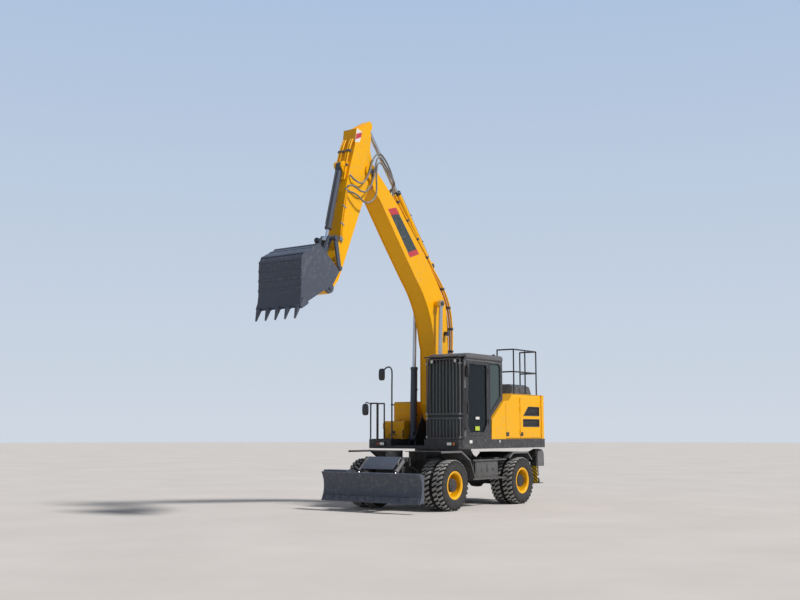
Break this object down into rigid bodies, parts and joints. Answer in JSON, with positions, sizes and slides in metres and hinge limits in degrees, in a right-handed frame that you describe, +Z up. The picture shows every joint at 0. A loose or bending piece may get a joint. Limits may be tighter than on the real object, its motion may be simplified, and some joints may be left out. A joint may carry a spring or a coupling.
{
  "type": "wheeled excavator",
  "caption": "Wheeled excavator with twin tyres, front blade, rear outriggers, slewing house with cab, one-piece boom, stick and bucket.",
  "frame": {"origin": "on the ground under the middle of the overall box of the machine as posed in the picture", "axes": "+Z up, -Y towards the front, where the blade and the bucket are, +X towards the machine's left, where the cab is"},
  "size_m": [2.605, 8.2324, 8.2561],
  "materials": {
    "charcoal_paint": "satin",
    "chromed_rod": "polished",
    "grey_steel": "satin",
    "lamp_lens": "clear lens",
    "seat_cloth": "matte",
    "slate_paint": "satin",
    "tyre_rubber": "matte",
    "window_glass": "clear",
    "yellow_paint": "gloss"
  },
  "bodies": {
    "undercarriage": {"chassis": "charcoal_paint", "tie_points": "charcoal_paint", "slew_ring": "grey_steel", "fenders": "charcoal_paint", "side_lockers": "grey_steel", "front_axle": "charcoal_paint", "rear_axle": "charcoal_paint", "prop_shaft": "grey_steel"},
    "knuckle_left": {"knuckle_left": "charcoal_paint"},
    "knuckle_right": {"knuckle_right": "charcoal_paint"},
    "tie_rod": {"tie_rod": "grey_steel"},
    "wheels_front_left": {"tyres_front_left": "tyre_rubber", "rims_front_left": "yellow_paint"},
    "wheels_front_right": {"tyres_front_right": "tyre_rubber", "rims_front_right": "yellow_paint"},
    "wheels_rear_left": {"tyres_rear_left": "tyre_rubber", "rims_rear_left": "yellow_paint"},
    "wheels_rear_right": {"tyres_rear_right": "tyre_rubber", "rims_rear_right": "yellow_paint"},
    "blade": {"blade": "slate_paint"},
    "blade_barrels": {"blade_barrels": "grey_steel"},
    "blade_rods": {"blade_rods": "chromed_rod"},
    "upper": {"platform": "charcoal_paint", "counterweight": "yellow_paint", "engine": "grey_steel", "house": "yellow_paint", "right_tank": "yellow_paint", "toolbox": "yellow_paint", "rails": "charcoal_paint", "mirrors": "charcoal_paint", "lamps": "lamp_lens", "cab_shell": "charcoal_paint", "cab_glass": "window_glass", "cab_guard": "charcoal_paint", "seat": "seat_cloth"},
    "cab_door": {"cab_door": "charcoal_paint", "door_glass": "window_glass"},
    "boom": {"boom": "yellow_paint"},
    "stick": {"stick": "yellow_paint"},
    "outrigger_left": {"outrigger_left": "charcoal_paint"},
    "outrigger_right": {"outrigger_right": "charcoal_paint"},
    "outrigger_barrel_left": {"outrigger_barrel_left": "grey_steel"},
    "outrigger_barrel_right": {"outrigger_barrel_right": "grey_steel"},
    "outrigger_rod_left": {"outrigger_rod_left": "chromed_rod"},
    "outrigger_rod_right": {"outrigger_rod_right": "chromed_rod"},
    "engine_hood": {"engine_hood": "charcoal_paint"},
    "left_front_door": {"left_front_door": "yellow_paint"},
    "left_rear_door": {"left_rear_door": "yellow_paint"},
    "right_door": {"right_door": "yellow_paint"},
    "toolbox_lid": {"toolbox_lid": "yellow_paint"},
    "boom_barrels": {"boom_barrels": "slate_paint"},
    "boom_rods": {"boom_rods": "chromed_rod"},
    "arm_barrel": {"arm_barrel": "slate_paint"},
    "arm_rod": {"arm_rod": "chromed_rod"},
    "bucket_barrel": {"bucket_barrel": "slate_paint"},
    "bucket_rod": {"bucket_rod": "chromed_rod"},
    "guide_links": {"guide_links": "slate_paint"},
    "push_link": {"push_link": "slate_paint"},
    "bucket": {"bucket": "slate_paint"}
  },
  "joints": [
    {"name": "steer_left", "type": "hinge", "parent": "undercarriage", "child": "knuckle_left", "pos_m": [0.55, -0.06477, 0.5275], "axis": [0, 0, 1], "range_deg": [-30, 30]},
    {"name": "steer_right", "type": "hinge", "parent": "undercarriage", "child": "knuckle_right", "pos_m": [-0.55, -0.06477, 0.5275], "axis": [0, 0, 1], "range_deg": [-30.01, 30.01]},
    {"name": "tie_rod_slide", "type": "slide", "parent": "undercarriage", "child": "tie_rod", "axis": [1, 0, 0], "range_m": [-0.10212, 0.10212]},
    {"name": "wheels_front_left_spin", "type": "hinge", "parent": "knuckle_left", "child": "wheels_front_left", "pos_m": [0.967, -0.06477, 0.5275], "axis": [1, 0, 0], "continuous": true},
    {"name": "wheels_rear_left_spin", "type": "hinge", "parent": "undercarriage", "child": "wheels_rear_left", "pos_m": [0.967, 2.78523, 0.5275], "axis": [1, 0, 0], "continuous": true},
    {"name": "wheels_front_right_spin", "type": "hinge", "parent": "knuckle_right", "child": "wheels_front_right", "pos_m": [-0.967, -0.06477, 0.5275], "axis": [1, 0, 0], "continuous": true},
    {"name": "wheels_rear_right_spin", "type": "hinge", "parent": "undercarriage", "child": "wheels_rear_right", "pos_m": [-0.967, 2.78523, 0.5275], "axis": [1, 0, 0], "continuous": true},
    {"name": "blade_lift", "type": "hinge", "parent": "undercarriage", "child": "blade", "pos_m": [0, -0.66977, 0.48], "axis": [1, 0, 0], "range_deg": [-3, 30]},
    {"name": "blade_barrels_swing", "type": "hinge", "parent": "undercarriage", "child": "blade_barrels", "pos_m": [0, -0.78977, 1.075], "axis": [1, 0, 0], "range_deg": [-1.27, 12.7]},
    {"name": "blade_rods_slide", "type": "slide", "parent": "blade_barrels", "child": "blade_rods", "axis": [0, -0.7564, -0.6542], "range_m": [-0.02611, 0.26101]},
    {"name": "outrigger_left_swing", "type": "hinge", "parent": "undercarriage", "child": "outrigger_left", "pos_m": [0.2, 3.71023, 0.66], "axis": [0, 1, 0], "range_deg": [-2, 32]},
    {"name": "outrigger_barrel_left_swing", "type": "hinge", "parent": "undercarriage", "child": "outrigger_barrel_left", "pos_m": [1.1, 3.71023, 1.19], "axis": [0, 1, 0], "range_deg": [-0.65, 10.4]},
    {"name": "outrigger_rod_left_slide", "type": "slide", "parent": "outrigger_barrel_left", "child": "outrigger_rod_left", "axis": [0, 0, -1], "range_m": [-0.03, 0.47978]},
    {"name": "outrigger_right_swing", "type": "hinge", "parent": "undercarriage", "child": "outrigger_right", "pos_m": [-0.2, 3.71023, 0.66], "axis": [0, -1, 0], "range_deg": [-2, 32]},
    {"name": "outrigger_barrel_right_swing", "type": "hinge", "parent": "undercarriage", "child": "outrigger_barrel_right", "pos_m": [-1.1, 3.71023, 1.19], "axis": [0, -1, 0], "range_deg": [-0.65, 10.4]},
    {"name": "outrigger_rod_right_slide", "type": "slide", "parent": "outrigger_barrel_right", "child": "outrigger_rod_right", "axis": [0, 0, -1], "range_m": [-0.03, 0.47978]},
    {"name": "swing", "type": "hinge", "parent": "undercarriage", "child": "upper", "pos_m": [0, 1.36023, 1.272], "axis": [0, 0, 1], "continuous": true},
    {"name": "cab_door_hinge", "type": "hinge", "parent": "upper", "child": "cab_door", "pos_m": [1.242, 1.32723, 2.4], "axis": [0, 0, 1], "range_deg": [0, 165]},
    {"name": "left_front_door_hinge", "type": "hinge", "parent": "upper", "child": "left_front_door", "pos_m": [1.2433, 2.72923, 1.9], "axis": [0, 0, 1], "range_deg": [0, 100]},
    {"name": "left_rear_door_hinge", "type": "hinge", "parent": "upper", "child": "left_rear_door", "pos_m": [1.2433, 3.73623, 1.96], "axis": [0, 0, 1], "range_deg": [0, 110]},
    {"name": "right_door_hinge", "type": "hinge", "parent": "upper", "child": "right_door", "pos_m": [-1.2433, 3.73623, 1.96], "axis": [0, 0, -1], "range_deg": [0, 110]},
    {"name": "engine_hood_hinge", "type": "hinge", "parent": "upper", "child": "engine_hood", "pos_m": [-0.916, 3.23023, 2.522], "axis": [0, -1, 0], "range_deg": [0, 65]},
    {"name": "toolbox_lid_hinge", "type": "hinge", "parent": "upper", "child": "toolbox_lid", "pos_m": [-0.93, 1.13423, 1.888], "axis": [-1, 0, 0], "range_deg": [0, 80]},
    {"name": "boom_lift", "type": "hinge", "parent": "upper", "child": "boom", "pos_m": [-0.15, 1.28023, 2.025], "axis": [1, 0, 0], "range_deg": [-3, 95]},
    {"name": "boom_barrels_swing", "type": "hinge", "parent": "upper", "child": "boom_barrels", "pos_m": [-0.15, 0.90023, 1.5], "axis": [1, 0, 0], "range_deg": [-2.79, 88.37]},
    {"name": "boom_rods_slide", "type": "slide", "parent": "boom_barrels", "child": "boom_rods", "axis": [0, 0.031, 0.9995], "range_m": [-0.9013, 0.02847]},
    {"name": "stick_swing", "type": "hinge", "parent": "boom", "child": "stick", "pos_m": [-0.15, -1.42862, 7.11961], "axis": [-1, 0, 0], "range_deg": [-10, 95]},
    {"name": "arm_barrel_swing", "type": "hinge", "parent": "boom", "child": "arm_barrel", "pos_m": [-0.15, 1.061, 5.4194], "axis": [-1, 0, 0], "range_deg": [-0.16, 1.54]},
    {"name": "arm_rod_slide", "type": "slide", "parent": "arm_barrel", "child": "arm_rod", "axis": [0, -0.6555, 0.7552], "range_m": [-1.5553, 0.16372]},
    {"name": "bucket_tilt", "type": "hinge", "parent": "stick", "child": "bucket", "pos_m": [-0.15, -2.76789, 4.49114], "axis": [-1, 0, 0], "range_deg": [-150, 10]},
    {"name": "guide_links_swing", "type": "hinge", "parent": "stick", "child": "guide_links", "pos_m": [-0.15, -2.51434, 4.90066], "axis": [-1, 0, 0], "range_deg": [-113.68, 7.58]},
    {"name": "push_link_swing", "type": "hinge", "parent": "bucket", "child": "push_link", "pos_m": [-0.15, -2.94003, 4.9467], "axis": [-1, 0, 0], "range_deg": [-7.22, 108.32]},
    {"name": "bucket_barrel_swing", "type": "hinge", "parent": "stick", "child": "bucket_barrel", "pos_m": [-0.15, -2.21576, 7.11664], "axis": [-1, 0, 0], "range_deg": [-0.61, 9.21]},
    {"name": "bucket_rod_slide", "type": "slide", "parent": "bucket_barrel", "child": "bucket_rod", "axis": [0, -0.2538, -0.9673], "range_m": [-0.06925, 1.03858]}
  ],
  "couplings": [
    {"joint": "steer_right", "follows": "steer_left", "ratio": 1},
    {"joint": "tie_rod_slide", "follows": "steer_left", "m_per_rad": 0.195},
    {"joint": "blade_barrels_swing", "follows": "blade_lift", "ratio": 0.4233},
    {"joint": "blade_rods_slide", "follows": "blade_lift", "m_per_rad": 0.49842},
    {"joint": "outrigger_barrel_left_swing", "follows": "outrigger_left_swing", "ratio": 0.325},
    {"joint": "outrigger_rod_left_slide", "follows": "outrigger_left_swing", "m_per_rad": 0.85893},
    {"joint": "outrigger_barrel_right_swing", "follows": "outrigger_right_swing", "ratio": 0.325},
    {"joint": "outrigger_rod_right_slide", "follows": "outrigger_right_swing", "m_per_rad": 0.85893},
    {"joint": "boom_barrels_swing", "follows": "boom_lift", "ratio": 0.93015},
    {"joint": "boom_rods_slide", "follows": "boom_lift", "m_per_rad": -0.54353},
    {"joint": "arm_barrel_swing", "follows": "stick_swing", "ratio": 0.016261},
    {"joint": "arm_rod_slide", "follows": "stick_swing", "m_per_rad": -0.93792},
    {"joint": "guide_links_swing", "follows": "bucket_tilt", "ratio": 0.75777},
    {"joint": "push_link_swing", "follows": "bucket_tilt", "ratio": -0.72207},
    {"joint": "bucket_barrel_swing", "follows": "bucket_tilt", "ratio": -0.061381},
    {"joint": "bucket_rod_slide", "follows": "bucket_tilt", "m_per_rad": -0.39666}
  ]
}
